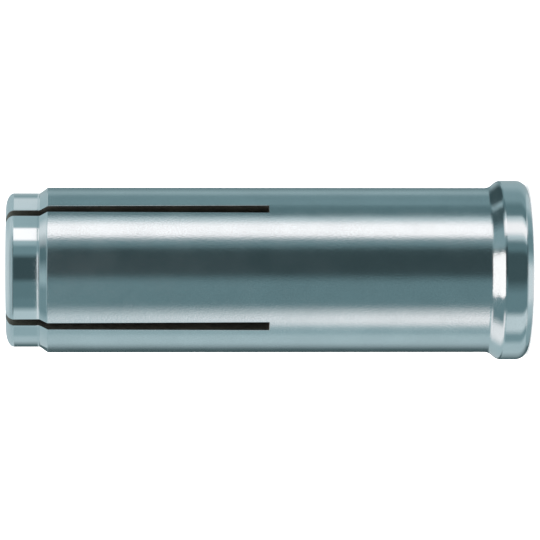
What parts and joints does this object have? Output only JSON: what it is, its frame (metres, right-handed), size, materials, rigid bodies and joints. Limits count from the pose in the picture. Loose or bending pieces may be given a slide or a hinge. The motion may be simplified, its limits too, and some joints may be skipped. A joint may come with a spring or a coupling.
{
  "type": "drop in anchor",
  "caption": "Lipped, internally threaded drop-in anchor: a zinc-plated steel sleeve with a slotted nose that an expander plug spreads in a drilled hole.",
  "frame": {"origin": "centre of the mouth face, on the floor the anchor stands on", "axes": "+Z along the anchor's axis from the mouth to the slotted nose, -Y out of the middle of one nose leg, +X out of the next"},
  "size_m": [0.0172, 0.0172, 0.05],
  "materials": {
    "zinc_plated_steel": "blue-white zinc plating, satin body and brighter nose",
    "plug_steel": "turned steel, lightly oiled"
  },
  "bodies": {
    "root": {"sleeve": "zinc_plated_steel", "expander_plug": "plug_steel"}
  },
  "joints": []
}
